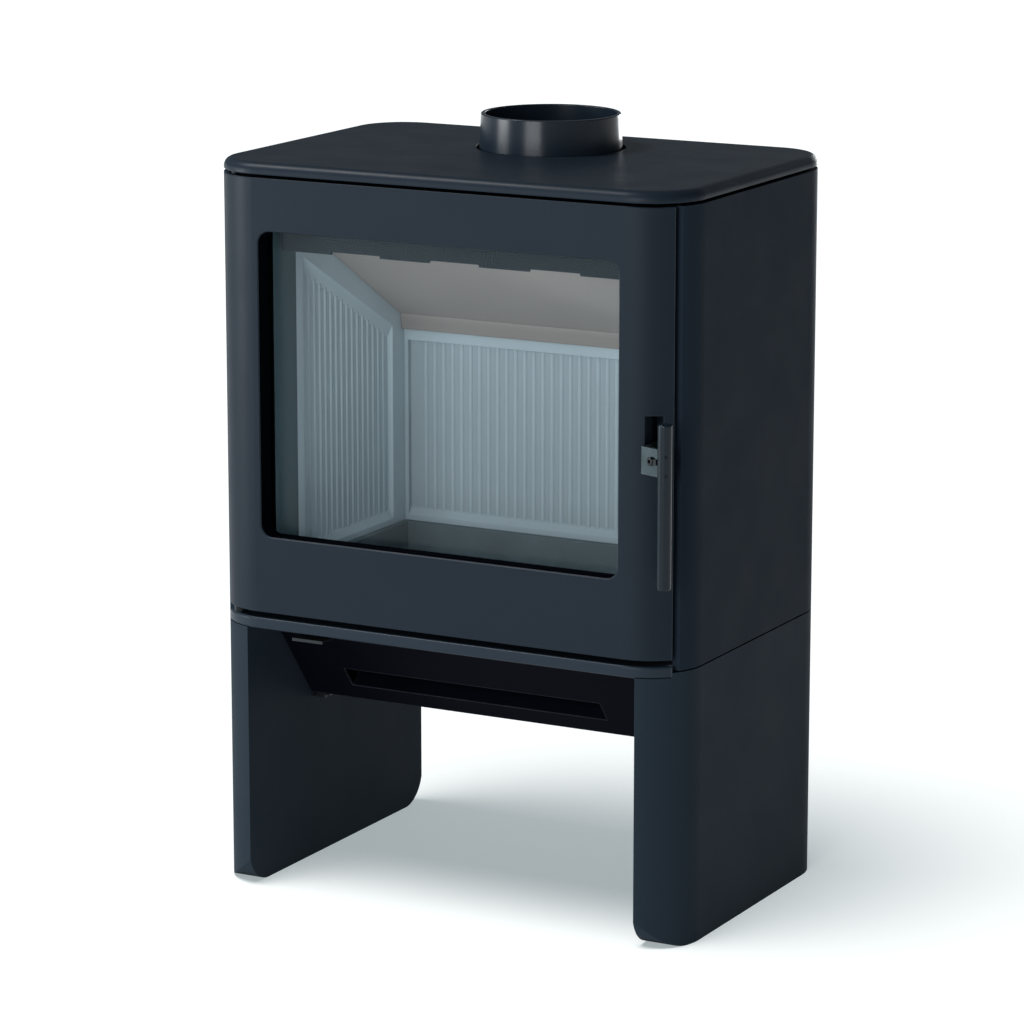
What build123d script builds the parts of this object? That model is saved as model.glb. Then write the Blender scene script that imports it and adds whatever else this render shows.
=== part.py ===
"""Wood burning stove on an open bench: cast legs, glazed door with a lift latch, ribbed firebox.

Millimetres. +X is the stove's right seen from the front, +Y its back, +Z up. The origin is on the
floor under the middle of the whole stove, handle included. Places that count back from the door's
face are written as back_from_face(distance).
"""

import os
from math import cos, radians, sin, sqrt

from build123d import *

os.makedirs("parts", exist_ok=True)

# ---- Overall size ----
width = 540.0
depth = 368.0
corner_radius = 58.0
panel_wall = 6.0

# ---- Heights ----
lip_bottom = 280.0
seam = 285.0
lip_top = 292.0
door_bottom = 298.0
door_top = 750.0
shadow_gap = 3.0
top_thickness = 12.0
collar_rim = 801.0

# ---- Handle rod ----
rod_radius = 7.25
rod_proud = 12.0
rod_x = 262.5
rod_bottom = 377.0
rod_top = 542.0

front = (rod_proud + rod_radius - depth) / 2
middle = front + depth / 2
top_bottom = door_top + shadow_gap
top_face = top_bottom + top_thickness
corner_x = width / 2 - corner_radius

# ---- Door ----
door_end_angle = 50.0
door_thickness = corner_radius * (1 - cos(radians(door_end_angle)))
window_half = 205.3
window_bottom = 378.4
window_top = 695.6
window_radius = 13.0
hinge_x = -241.2
hinge_back = 17.4
hinge_pin_radius = 4.0
running_clearance = 0.05
pin_seat_depth = 6.0
pin_in_door = 15.0
hinge_bore_depth = 16.0
hinge_boss_radius = 7.4
hinge_boss_height = 22.0
pin_bottom = lip_bottom + 2
seal_radius = 5.0
seal_half = 219.0
seal_bottom = 350.0
seal_top = 722.0
glass_front = 22.0
glass_thickness = 4.0
glass_half = 211.0
glass_bottom = 370.0
glass_top = 704.0

# ---- Latch ----
slot_left = 232.5
slot_right = 248.6
slot_bottom = 488.8
slot_top = 544.7
arm_thickness = 5.0
arm_x = 235.7
arm_bottom = 489.3
arm_top = 516.4
arm_turn = 20.0
pivot_back = 28.0
pivot_z = 502.0
pivot_radius = 3.0
striker_back = 40.0
striker_z = 500.0
striker_radius = 3.5

# ---- Front frame ----
frame_front = 29.0
wing_front = 34.5
wing_back = 46.0
opening_half = 204.8
opening_bottom = 358.0
opening_top = 714.0
sleeve_wall = 5.0

# ---- Firebox ----
liner_front = 74.0
liner_inner_back = 299.0
liner_outer = 226.0
shell_wall = 4.0
shell_top = 741.0
shell_back = 331.0
liner_bottom = 338.0
rear_liner_top = 550.0
baffle_slope = 0.6
baffle_low_back = 303.4
baffle_low_z = 559.0
hearth_floor = 308.0
rib_pitch = 11.0
rib_radius = 2.9
recess = 6.0

# ---- Bench and drawer ----
leg_thickness = 45.6
leg_foot_radius = 38.0
sheet = 2.0
drawer_low_back = 125.8
drawer_low_z = 182.0
drawer_high_z = 262.0
drawer_lean = 75.9 / 97.3
drawer_half = 222.4
pan_half = 205.0

# ---- Flue ----
flue_back = 248.6
flue_bore = 68.5
collar_base_radius = 75.0
collar_top_radius = 72.6
collar_flange_radius = 90.0


def back_from_face(distance):
    """The Y of a point that lies this far behind the door's face."""
    return front + distance


def face_plane(distance):
    """A plane parallel to the door's face: local x is X, local y is Z, its normal points forwards."""
    return Plane.XZ.offset(-back_from_face(distance))


def side_plane(x):
    """A plane across the stove's width: local x is Y, local y is Z, its normal points right."""
    return Plane.YZ.offset(x)


def outer_plan(inset=0.0):
    """The rounded rectangle of the stove seen from above, drawn into the open sketch."""
    with Locations((0, middle)):
        RectangleRounded(width - 2 * inset, depth - 2 * inset, corner_radius - inset)


def door_plan():
    """The front slice of the outer plan, which is the outline of both the door and the lip."""
    outer_plan()
    with Locations((0, front)):
        Rectangle(width, 2 * door_thickness, mode=Mode.INTERSECT)


def span(x_low, x_high, back_low, back_high):
    """A rectangle in plan between two X values and two distances behind the door's face."""
    with Locations(((x_low + x_high) / 2, back_from_face((back_low + back_high) / 2))):
        Rectangle(x_high - x_low, back_high - back_low)


def block(x_low, x_high, back_low, back_high, z_low, z_high, mode=Mode.ADD):
    """A box between limits in X, distance behind the door's face, and Z."""
    with Locations((x_low, back_from_face(back_low), z_low)):
        Box(
            x_high - x_low, back_high - back_low, z_high - z_low,
            align=(Align.MIN, Align.MIN, Align.MIN), mode=mode,
        )


def upright_panel(half, z_low, z_high, radius):
    """A rounded rectangle in a face plane, the same width each side of the middle."""
    with Locations((0, (z_low + z_high) / 2)):
        RectangleRounded(2 * half, z_high - z_low, radius)


def side_outline(points):
    """A closed outline in a side plane from (distance behind the face, z) points."""
    Polygon(*[(back_from_face(back), z) for back, z in points], align=None)


# ======== Bench ========

leg_bolt_places = [(247.0, 75.0), (247.0, 293.0)]
leg_wall = 7.0
leg_solid_foot = 60.0
leg_bolt_radius = 4.0
leg_bolt_head_radius = 7.0
leg_bolt_head_height = 5.0
leg_bolt_length = 35.0
leg_boss_radius = 17.0
leg_boss_height = 45.0

for name, side in (("left", -1), ("right", 1)):
    with BuildPart() as leg:
        with BuildSketch():
            outer_plan()
            with Locations((side * (width - leg_thickness) / 2, middle)):
                Rectangle(leg_thickness, depth, mode=Mode.INTERSECT)
        extrude(amount=seam)
        with BuildSketch(side_plane(0)):
            with Locations((middle, seam / 2)):
                feet = Rectangle(depth, seam)
            fillet(feet.vertices().group_by(Axis.Y)[0], leg_foot_radius)
        extrude(amount=width, both=True, mode=Mode.INTERSECT)
        with BuildSketch(Plane.XY.offset(leg_solid_foot)):
            outer_plan(leg_wall)
            with Locations((side * (width - leg_thickness) / 2, middle)):
                Rectangle(leg_thickness - 2 * leg_wall, depth - 2 * leg_wall, mode=Mode.INTERSECT)
        extrude(amount=seam, mode=Mode.SUBTRACT)
        for bolt_x, bolt_back in leg_bolt_places:
            with Locations((side * bolt_x, back_from_face(bolt_back), seam - leg_boss_height)):
                Cylinder(
                    leg_boss_radius, leg_boss_height, align=(Align.CENTER, Align.CENTER, Align.MIN),
                )
                Cylinder(
                    leg_bolt_radius, leg_boss_height, align=(Align.CENTER, Align.CENTER, Align.MIN),
                    mode=Mode.SUBTRACT,
                )
        block(-width, width, -1, door_thickness, lip_bottom, seam + 1, Mode.SUBTRACT)
    leg.part.label = f"leg_{name}"
    export_step(leg.part, f"parts/leg_{name}.step")

# The base plate carries the firebox. Its front edge is the lip that shows under the door.
air_hole = (-140.0, -80.0, 49.0, 79.0)
ash_hole_half = 80.0
ash_hole = (137.0, 239.0)
lip_edge_radius = 2.5

with BuildPart() as base_plate:
    with BuildSketch(Plane.XY.offset(lip_bottom)):
        door_plan()
    extrude(amount=lip_top - lip_bottom)
    lip_edges = base_plate.edges().filter_by_position(
        Axis.Y, front - 1, front + door_thickness - 2).filter_by(Axis.Z, reverse=True)
    fillet(lip_edges, lip_edge_radius)
    with BuildSketch(Plane.XY.offset(seam)):
        outer_plan(panel_wall)
        with Locations((0, front)):
            Rectangle(width, 2 * (door_thickness - 1), mode=Mode.SUBTRACT)
    extrude(amount=lip_top - seam)
    block(-ash_hole_half, ash_hole_half, *ash_hole, seam, lip_top, Mode.SUBTRACT)
    block(*air_hole, seam, lip_top, Mode.SUBTRACT)
    with Locations((hinge_x, back_from_face(hinge_back), pin_bottom)):
        Cylinder(
            hinge_pin_radius, lip_top - pin_bottom, align=(Align.CENTER, Align.CENTER, Align.MIN),
            mode=Mode.SUBTRACT,
        )
    for bolt_x, bolt_back in leg_bolt_places:
        for side in (-1, 1):
            with Locations((side * bolt_x, back_from_face(bolt_back), (seam + lip_top) / 2)):
                Cylinder(leg_bolt_radius, lip_top - seam, mode=Mode.SUBTRACT)
base_plate.part.label = "base_plate"
export_step(base_plate.part, "parts/base_plate.step")

with BuildPart() as leg_bolts:
    for bolt_x, bolt_back in leg_bolt_places:
        for side in (-1, 1):
            with BuildSketch(Plane.XY.offset(lip_top)):
                with Locations((side * bolt_x, back_from_face(bolt_back))):
                    RegularPolygon(leg_bolt_head_radius, 6)
            extrude(amount=leg_bolt_head_height)
            with BuildSketch(Plane.XY.offset(lip_top)):
                with Locations((side * bolt_x, back_from_face(bolt_back))):
                    Circle(leg_bolt_radius)
            extrude(amount=-leg_bolt_length)
leg_bolts.part.label = "leg_bolts"
export_step(leg_bolts.part, "parts/leg_bolts.step")

# ======== Outer casing ========

side_panel_front = 27.0
panel_bottom = seam + 1.6

for name, side in (("left", -1), ("right", 1)):
    with BuildPart() as side_panel:
        with BuildSketch(Plane.XY.offset(panel_bottom)):
            outer_plan()
            with Locations((0, middle)):
                RectangleRounded(
                    width - 2 * panel_wall, depth - 2 * panel_wall,
                    corner_radius - panel_wall, mode=Mode.SUBTRACT,
                )
            panel_depth = depth - side_panel_front
            with Locations((side * (corner_x + width / 2) / 2, back_from_face(depth - panel_depth / 2))):
                Rectangle(corner_radius, panel_depth, mode=Mode.INTERSECT)
        extrude(amount=door_top - panel_bottom)
    side_panel.part.label = f"side_panel_{name}"
    export_step(side_panel.part, f"parts/side_panel_{name}.step")

spacer_radius = 7.0
back_screw_places = [(x, z) for x in (-180, 0, 180) for z in (330, 700)]
side_spacer_places = [(back, z) for back in (120, 270) for z in (340, 700)]
screw_radius = 2.2
screw_head = 4.6
screw_head_depth = 2.4
screw_length = 16.0
vent_heights = (380, 400, 630, 650)
vent_pitch = 52.0
vent_count = 7
vent_length = 40.0
vent_width = 8.0

with BuildPart() as back_panel:
    with BuildSketch(face_plane(depth - panel_wall)):
        with Locations((0, (panel_bottom + door_top) / 2)):
            Rectangle(2 * corner_x, door_top - panel_bottom)
        for vent_z in vent_heights:
            with Locations((0, vent_z)):
                with GridLocations(vent_pitch, 1, vent_count, 1):
                    SlotOverall(vent_length, vent_width, mode=Mode.SUBTRACT)
        with Locations(*back_screw_places):
            Circle(screw_radius, mode=Mode.SUBTRACT)
    extrude(amount=-panel_wall)
    for screw_x, screw_z in back_screw_places:
        with Locations(Plane.XZ.offset(-back_from_face(depth)) * Pos(screw_x, screw_z, 0)):
            Cone(
                screw_radius, screw_head, screw_head_depth, rotation=(0, 180, 0),
                align=(Align.CENTER, Align.CENTER, Align.MAX), mode=Mode.SUBTRACT,
            )
back_panel.part.label = "back_panel"
export_step(back_panel.part, "parts/back_panel.step")

with BuildPart() as back_screws:
    for screw_x, screw_z in back_screw_places:
        with BuildSketch(side_plane(screw_x)):
            with BuildLine():
                head_back = back_from_face(depth)
                Polyline(
                    (head_back, screw_z), (head_back, screw_z + screw_head),
                    (head_back - screw_head_depth, screw_z + screw_radius),
                    (head_back - screw_length, screw_z + screw_radius),
                    (head_back - screw_length, screw_z), close=True,
                )
            make_face()
        revolve(axis=Axis((screw_x, 0, screw_z), (0, 1, 0)))
back_screws.part.label = "back_screws"
export_step(back_screws.part, "parts/back_screws.step")

# Posts hold the casing off the hot firebox shell.
with BuildPart() as panel_spacers:
    for post_back, post_z in side_spacer_places:
        for side in (-1, 1):
            with BuildSketch(side_plane(side * (liner_outer + shell_wall))):
                with Locations((back_from_face(post_back), post_z)):
                    Circle(spacer_radius)
            extrude(amount=side * (width / 2 - panel_wall - liner_outer - shell_wall))
    for post_x, post_z in back_screw_places:
        with BuildSketch(face_plane(shell_back)):
            with Locations((post_x, post_z)):
                Circle(spacer_radius)
        extrude(amount=shell_back + panel_wall - depth)
        with BuildSketch(face_plane(depth - panel_wall)):
            with Locations((post_x, post_z)):
                Circle(screw_radius)
        extrude(amount=screw_length - panel_wall, mode=Mode.SUBTRACT)
panel_spacers.part.label = "panel_spacers"
export_step(panel_spacers.part, "parts/panel_spacers.step")

# ======== Top plate and flue ========

flue_hole = 78.0
top_edge_radius = 9.0
under_edge_radius = 1.5
top_spacer_x = 200.0
top_spacer_backs = (90, 310)

with BuildPart() as top_plate:
    with BuildSketch(Plane.XY.offset(top_bottom)):
        outer_plan()
        with Locations((0, back_from_face(flue_back))):
            Circle(flue_hole, mode=Mode.SUBTRACT)
    extrude(amount=top_thickness)
    rim = top_plate.faces().sort_by(Axis.Z)[-1].outer_wire().edges()
    fillet(rim, top_edge_radius)
    under_rim = top_plate.faces().sort_by(Axis.Z)[0].outer_wire().edges()
    fillet(under_rim, under_edge_radius)
    with Locations((hinge_x, back_from_face(hinge_back), top_bottom)):
        Cylinder(hinge_pin_radius, 2 * pin_seat_depth, mode=Mode.SUBTRACT)
top_plate.part.label = "top_plate"
export_step(top_plate.part, "parts/top_plate.step")

with BuildPart() as top_spacers:
    for post_back in top_spacer_backs:
        for side in (-1, 1):
            with BuildSketch(Plane.XY.offset(shell_top)):
                with Locations((side * top_spacer_x, back_from_face(post_back))):
                    Circle(spacer_radius)
            extrude(amount=top_bottom - shell_top)
top_spacers.part.label = "top_spacers"
export_step(top_spacers.part, "parts/top_spacers.step")

collar_flange_thickness = 6.0
collar_bolt_circle = 84.0
collar_bolt_radius = 2.5
collar_bolt_head_radius = 4.6
collar_bolt_head_height = 4.0
collar_rim_radius = 1.0
flue_mouth_gap = 1.5

with BuildPart() as flue_collar:
    with BuildSketch(side_plane(0)):
        with BuildLine():
            axis_y = back_from_face(flue_back)
            flange_top = shell_top + collar_flange_thickness
            Polyline(
                (axis_y + flue_bore, shell_top), (axis_y + collar_flange_radius, shell_top),
                (axis_y + collar_flange_radius, flange_top),
                (axis_y + collar_base_radius, flange_top),
                (axis_y + collar_base_radius, top_bottom),
                (axis_y + collar_top_radius, collar_rim), (axis_y + flue_bore, collar_rim),
                close=True,
            )
        make_face()
    revolve(axis=Axis((0, back_from_face(flue_back), 0), (0, 0, 1)))
    fillet(flue_collar.edges().group_by(Axis.Z)[-1], collar_rim_radius)
    with BuildSketch(Plane.XY.offset(shell_top)):
        with Locations((0, back_from_face(flue_back))):
            with PolarLocations(collar_bolt_circle, 4, start_angle=45):
                Circle(collar_bolt_radius)
    extrude(amount=collar_flange_thickness, mode=Mode.SUBTRACT)
flue_collar.part.label = "flue_collar"
export_step(flue_collar.part, "parts/flue_collar.step")

with BuildPart() as collar_bolts:
    with BuildSketch(Plane.XY.offset(shell_top + collar_flange_thickness)):
        with Locations((0, back_from_face(flue_back))):
            with PolarLocations(collar_bolt_circle, 4, start_angle=45):
                RegularPolygon(collar_bolt_head_radius, 6)
    extrude(amount=collar_bolt_head_height)
    with BuildSketch(Plane.XY.offset(shell_top + collar_flange_thickness)):
        with Locations((0, back_from_face(flue_back))):
            with PolarLocations(collar_bolt_circle, 4, start_angle=45):
                Circle(collar_bolt_radius)
    extrude(amount=-collar_flange_thickness - shell_wall)
collar_bolts.part.label = "collar_bolts"
export_step(collar_bolts.part, "parts/collar_bolts.step")

# ======== Firebox ========

with BuildPart() as firebox_shell:
    with BuildSketch(Plane.XY.offset(lip_top)):
        shell_outer = liner_outer + shell_wall
        span(-shell_outer, shell_outer, wing_back, shell_back)
    extrude(amount=shell_top - lip_top)
    block(
        -liner_outer, liner_outer, wing_back - 1, shell_back - shell_wall,
        lip_top - 1, shell_top - shell_wall, Mode.SUBTRACT,
    )
    with BuildSketch(Plane.XY.offset(shell_top - shell_wall)):
        with Locations((0, back_from_face(flue_back))):
            Circle(flue_bore + flue_mouth_gap)
            with PolarLocations(collar_bolt_circle, 4, start_angle=45):
                Circle(collar_bolt_radius)
    extrude(amount=shell_wall, mode=Mode.SUBTRACT)
firebox_shell.part.label = "firebox_shell"
export_step(firebox_shell.part, "parts/firebox_shell.step")

# The door seals on the frame's flat front. Its two wings stand back so that the door's end can turn.
frame_half = 229.0
frame_thickness = 8.0
wing_inner = 225.0
wing_outer = 258.0
catch_left = 229.5
catch_right = 243.5
catch_bottom = 468.0
catch_top = 512.0
pin_seat = 4.0
frame_top_bar = 12.0
sleeve_outer_radius = 7.0
sleeve_inner_radius = 2.5

with BuildPart() as front_frame:
    block(-frame_half, frame_half, frame_front, frame_front + frame_thickness, lip_top, shell_top)
    for side in (-1, 1):
        wing = sorted((side * wing_inner, side * wing_outer))
        block(*wing, wing_front, wing_back, lip_top, shell_top)
    block(
        -frame_half, frame_half, frame_front + frame_thickness, wing_back,
        shell_top - frame_top_bar, shell_top,
    )
    with BuildSketch(face_plane(frame_front)):
        upright_panel(
            opening_half + sleeve_wall, opening_bottom - sleeve_wall, opening_top + sleeve_wall,
            sleeve_outer_radius,
        )
    extrude(amount=frame_front - liner_front)
    with BuildSketch(face_plane(frame_front)):
        upright_panel(opening_half, opening_bottom, opening_top, sleeve_inner_radius)
    extrude(amount=frame_front - liner_front, mode=Mode.SUBTRACT)
    block(
        catch_left, catch_right, frame_front, wing_back, catch_bottom, catch_top, Mode.SUBTRACT)
    with BuildSketch(side_plane(catch_left - pin_seat)):
        with Locations((back_from_face(striker_back), striker_z)):
            Circle(striker_radius)
    extrude(amount=catch_right - catch_left + 2 * pin_seat, mode=Mode.SUBTRACT)
front_frame.part.label = "front_frame"
export_step(front_frame.part, "parts/front_frame.step")

with BuildPart() as striker_pin:
    with BuildSketch(side_plane(catch_left - pin_seat)):
        with Locations((back_from_face(striker_back), striker_z)):
            Circle(striker_radius)
    extrude(amount=catch_right - catch_left + 2 * pin_seat)
striker_pin.part.label = "striker_pin"
export_step(striker_pin.part, "parts/striker_pin.step")

# The hearth is an iron tray whose flange carries the liners.
tray_half = 225.0
tray_front = 75.0
tray_back = 325.0
basin_half = 197.0
basin_front = 84.0
basin_back = 291.0
tray_wall = 6.0
tray_floor = 8.0
basin_corner = 5.0
tray_rib = (120.0, 130.0)
grate_half = 75.0
grate_front = 140.0
grate_back = 236.0
grate_thickness = 5.0
grate_ledge = 5.0
grate_gap = 1.0
grate_slot_pitch = 15.0
grate_slot_count = 9
grate_slot_length = 72.0
grate_slot_width = 7.0

with BuildPart() as hearth_tray:
    block(-tray_half, tray_half, tray_front, tray_back, liner_bottom - tray_wall, liner_bottom)
    block(
        -basin_half - tray_wall, basin_half + tray_wall, basin_front - tray_wall,
        basin_back + tray_wall, hearth_floor - tray_floor, liner_bottom,
    )
    block(
        -basin_half, basin_half, basin_front, basin_back, hearth_floor, liner_bottom,
        Mode.SUBTRACT,
    )
    floor_rim = hearth_tray.edges().filter_by_position(
        Axis.Z, hearth_floor - 0.1, hearth_floor + 0.1)
    fillet(floor_rim, basin_corner)
    for side in (-1, 1):
        rib = sorted((side * tray_rib[0], side * tray_rib[1]))
        block(*rib, basin_front, basin_back, lip_top, hearth_floor - tray_floor)
    block(
        -grate_half, grate_half, grate_front, grate_back,
        hearth_floor - grate_thickness, hearth_floor, Mode.SUBTRACT,
    )
    block(
        grate_ledge - grate_half, grate_half - grate_ledge, grate_front + grate_ledge,
        grate_back - grate_ledge, hearth_floor - tray_floor, hearth_floor, Mode.SUBTRACT,
    )
hearth_tray.part.label = "hearth_tray"
export_step(hearth_tray.part, "parts/hearth_tray.step")

with BuildPart() as grate:
    block(
        grate_gap - grate_half, grate_half - grate_gap, grate_front + grate_gap,
        grate_back - grate_gap,
        hearth_floor - grate_thickness, hearth_floor,
    )
    with BuildSketch(Plane.XY.offset(hearth_floor)):
        with Locations((0, back_from_face((grate_front + grate_back) / 2))):
            with GridLocations(grate_slot_pitch, 1, grate_slot_count, 1):
                SlotOverall(grate_slot_length, grate_slot_width, rotation=90)
    extrude(amount=-grate_thickness, mode=Mode.SUBTRACT)
grate.part.label = "grate"
export_step(grate.part, "parts/grate.step")


def baffle_line(back):
    """The height of the baffle's sloping underside at a distance behind the door's face."""
    return baffle_low_z + baffle_slope * (baffle_low_back - back)


# ---- Rear liner: a plain border round a recess of upright ribs, with a sloping sill ----
rear_recess_half = 200.5
recess_bottom = 344.0
sill_rise = 9.0
rear_recess_top = 537.0
rear_liner_back = 325.0
rear_rib_count = 34
rear_rib_height = 1.8
rib_bottom = recess_bottom + sill_rise * (1 - rear_rib_height / recess)
liner_edge_radius = 2.0

with BuildPart() as liner_rear:
    block(
        -liner_outer, liner_outer, liner_inner_back, rear_liner_back,
        liner_bottom, rear_liner_top,
    )
    with BuildSketch(side_plane(-rear_recess_half)):
        side_outline([
            (liner_inner_back, recess_bottom),
            (liner_inner_back + recess, recess_bottom + sill_rise),
            (liner_inner_back + recess, rear_recess_top),
            (liner_inner_back, rear_recess_top),
        ])
    extrude(amount=2 * rear_recess_half, mode=Mode.SUBTRACT)
    with BuildSketch(Plane.XY.offset(rib_bottom)):
        with Locations((0, back_from_face(liner_inner_back + recess - rear_rib_height + rib_radius))):
            with GridLocations(rib_pitch, 1, rear_rib_count, 1):
                Circle(rib_radius)
    extrude(amount=rear_recess_top - rib_bottom)
    top_front_edge = liner_rear.edges().filter_by(Axis.X).group_by(Axis.Z)[-1].sort_by(Axis.Y)[0]
    fillet(top_front_edge, liner_edge_radius)
liner_rear.part.label = "liner_rear"
export_step(liner_rear.part, "parts/liner_rear.step")

# ---- Side liners: the same ribs under a sloping top border with a wide bevel ----
side_recess_front = 88.0
side_recess_back = 273.0
side_front_drop = 45.0
side_back_drop = 34.6
recess_draft = 1.0
bevel = 14.0
side_rib_count = 16
side_rib_height = 1.3

for name, side in (("left", -1), ("right", 1)):
    with BuildPart() as side_liner:
        with BuildSketch(side_plane(side * opening_half)):
            side_outline([
                (liner_front, liner_bottom), (liner_inner_back, liner_bottom),
                (liner_inner_back, baffle_line(liner_inner_back)),
                (liner_front, baffle_line(liner_front)),
            ])
        extrude(amount=side * (liner_outer - opening_half))
        recess_front_top = baffle_line(side_recess_front) - side_front_drop
        recess_back_top = baffle_line(side_recess_back) - side_back_drop
        with BuildSketch(side_plane(side * opening_half)):
            side_outline([
                (side_recess_front, recess_bottom), (side_recess_back, recess_bottom),
                (side_recess_back, recess_back_top + bevel),
                (side_recess_front, recess_front_top + bevel),
            ])
        with BuildSketch(side_plane(side * (opening_half + recess))):
            side_outline([
                (side_recess_front + recess_draft, recess_bottom + sill_rise),
                (side_recess_back - recess_draft, recess_bottom + sill_rise),
                (side_recess_back - recess_draft, recess_back_top),
                (side_recess_front + recess_draft, recess_front_top),
            ])
        loft(mode=Mode.SUBTRACT)
        for count in range(side_rib_count):
            rib_back = (side_recess_front + side_recess_back) / 2
            rib_back += (count - (side_rib_count - 1) / 2) * rib_pitch
            along = (rib_back - side_recess_front) / (side_recess_back - side_recess_front)
            rib_top = recess_front_top + along * (recess_back_top - recess_front_top)
            rib_x = side * (opening_half + recess - side_rib_height + rib_radius)
            with BuildSketch(Plane.XY.offset(rib_bottom)):
                with Locations((rib_x, back_from_face(rib_back))):
                    Circle(rib_radius)
            extrude(amount=rib_top - rib_bottom + 2)
    side_liner.part.label = f"liner_{name}"
    export_step(side_liner.part, f"parts/liner_{name}.step")

# The baffle lies on the liners' tops and slopes down to the back.
baffle_front = 112.0
baffle_back = 326.0
baffle_rise = 20.0
baffle_half = 224.0
baffle_foot_front = 290.0
baffle_foot_lap = 2.0
baffle_side_gap = 0.5

with BuildPart() as baffle:
    with BuildSketch(side_plane(-baffle_half)):
        side_outline([
            (baffle_front, baffle_line(baffle_front)),
            (liner_inner_back, baffle_line(liner_inner_back)),
            (baffle_back, baffle_line(liner_inner_back)),
            (baffle_back, baffle_line(baffle_back) + baffle_rise),
            (baffle_front, baffle_line(baffle_front) + baffle_rise),
        ])
    extrude(amount=2 * baffle_half)
    with BuildSketch(side_plane(baffle_side_gap - opening_half)):
        side_outline([
            (baffle_foot_front, baffle_line(baffle_foot_front) + baffle_foot_lap),
            (baffle_foot_front + baffle_foot_lap, rear_liner_top), (baffle_back, rear_liner_top),
            (baffle_back, baffle_line(liner_inner_back) + baffle_foot_lap),
        ])
    extrude(amount=2 * (opening_half - baffle_side_gap))
baffle.part.label = "baffle"
export_step(baffle.part, "parts/baffle.step")

# The deflector turns the wash air down behind the glass. Its lower edge has shallow tabs.
deflector_half = 202.0
deflector_edge = 673.0
deflector_front = 40.0
deflector_back = 43.0
deflector_bend = 692.0
deflector_joggle = 4.0
deflector_lip_back = 62.0
deflector_sheet = 3.0
tab_drop = 2.6
tab_width = 57.0

with BuildPart() as air_wash_deflector:
    with BuildSketch(side_plane(-deflector_half)):
        side_outline([
            (deflector_front, deflector_edge), (deflector_back, deflector_edge),
            (deflector_back, deflector_bend),
            (deflector_back - deflector_joggle, deflector_bend + deflector_joggle),
            (deflector_back - deflector_joggle, opening_top - deflector_sheet),
            (deflector_lip_back, opening_top - deflector_sheet), (deflector_lip_back, opening_top),
            (deflector_front - deflector_joggle, opening_top),
            (deflector_front - deflector_joggle, deflector_bend + deflector_sheet),
            (deflector_front, deflector_bend - 1),
        ])
    extrude(amount=2 * deflector_half)
    for tab in (-3, -1, 1, 3):
        tab_x = tab * tab_width
        block(
            tab_x - tab_width / 2, tab_x + tab_width / 2, deflector_front, deflector_back,
            deflector_edge - tab_drop, deflector_edge,
        )
air_wash_deflector.part.label = "air_wash_deflector"
export_step(air_wash_deflector.part, "parts/air_wash_deflector.step")

# ======== Door ========

seal_channel = 5.2
seal_radius_of_turn = 14.0
seal_squeeze_gap = 0.3
seal_back = frame_front - seal_squeeze_gap - seal_radius
seal_rounding = 4.6
window_chamfer = 1.2
door_edge_radius = 1.2
tapped_depth = 8.0

with BuildPart() as door_frame:
    with BuildSketch(Plane.XY.offset(door_bottom)):
        door_plan()
    extrude(amount=door_top - door_bottom)
    with BuildSketch(face_plane(0)):
        upright_panel(window_half, window_bottom, window_top, window_radius)
    extrude(amount=-depth, mode=Mode.SUBTRACT)
    door_face = door_frame.faces().filter_by(Axis.Y).sort_by(Axis.Y)[0]
    chamfer(door_face.inner_wires()[0].edges(), window_chamfer)
    end_edges = door_frame.edges().filter_by_position(
        Axis.Y, front - 1, front + door_thickness - 2)
    fillet(end_edges.group_by(Axis.Z)[-1] + end_edges.group_by(Axis.Z)[0], door_edge_radius)
    block(slot_left, slot_right, -1, door_thickness + 1, slot_bottom, slot_top, Mode.SUBTRACT)
    with BuildSketch(face_plane(door_thickness)):
        upright_panel(
            seal_half + seal_channel, seal_bottom - seal_channel, seal_top + seal_channel,
            seal_radius_of_turn + seal_channel,
        )
        with Locations((0, (seal_bottom + seal_top) / 2)):
            RectangleRounded(
                2 * (seal_half - seal_channel), seal_top - seal_bottom - 2 * seal_channel,
                seal_radius_of_turn - seal_channel, mode=Mode.SUBTRACT,
            )
    extrude(amount=door_thickness - seal_back + seal_radius, mode=Mode.SUBTRACT)
    for boss_low in (door_bottom, door_top - hinge_boss_height):
        with BuildSketch(Plane.XY.offset(boss_low)):
            with Locations((hinge_x, back_from_face(hinge_back))):
                Circle(hinge_boss_radius)
        extrude(amount=hinge_boss_height)
    for bore_low in (door_bottom, door_top - hinge_bore_depth):
        with BuildSketch(Plane.XY.offset(bore_low)):
            with Locations((hinge_x, back_from_face(hinge_back))):
                Circle(hinge_pin_radius + running_clearance)
        extrude(amount=hinge_bore_depth, mode=Mode.SUBTRACT)
    bracket_screw_places = [(arm_x, 467.0), (arm_x, 480.0)]
    clip_screw_places = [(x, z) for x in (-150, 0, 150) for z in (363.0, 711.0)]
    clip_screw_radius = 1.8
    with BuildSketch(face_plane(door_thickness)):
        with Locations(*bracket_screw_places, *clip_screw_places):
            Circle(clip_screw_radius)
    extrude(amount=tapped_depth, mode=Mode.SUBTRACT)
door_frame.part.label = "door_frame"
export_step(door_frame.part, "parts/door_frame.step")

glass_corner = 5.0
glass_chamfer = 0.6
tape_setback = 0.7
tape_reveal = 1.2

with BuildPart() as door_glass:
    with BuildSketch(face_plane(glass_front)):
        upright_panel(glass_half, glass_bottom, glass_top, glass_corner)
    extrude(amount=-glass_thickness)
    chamfer(door_glass.edges().group_by(Axis.Y)[0], glass_chamfer)
door_glass.part.label = "door_glass"
export_step(door_glass.part, "parts/door_glass.step")

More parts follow.
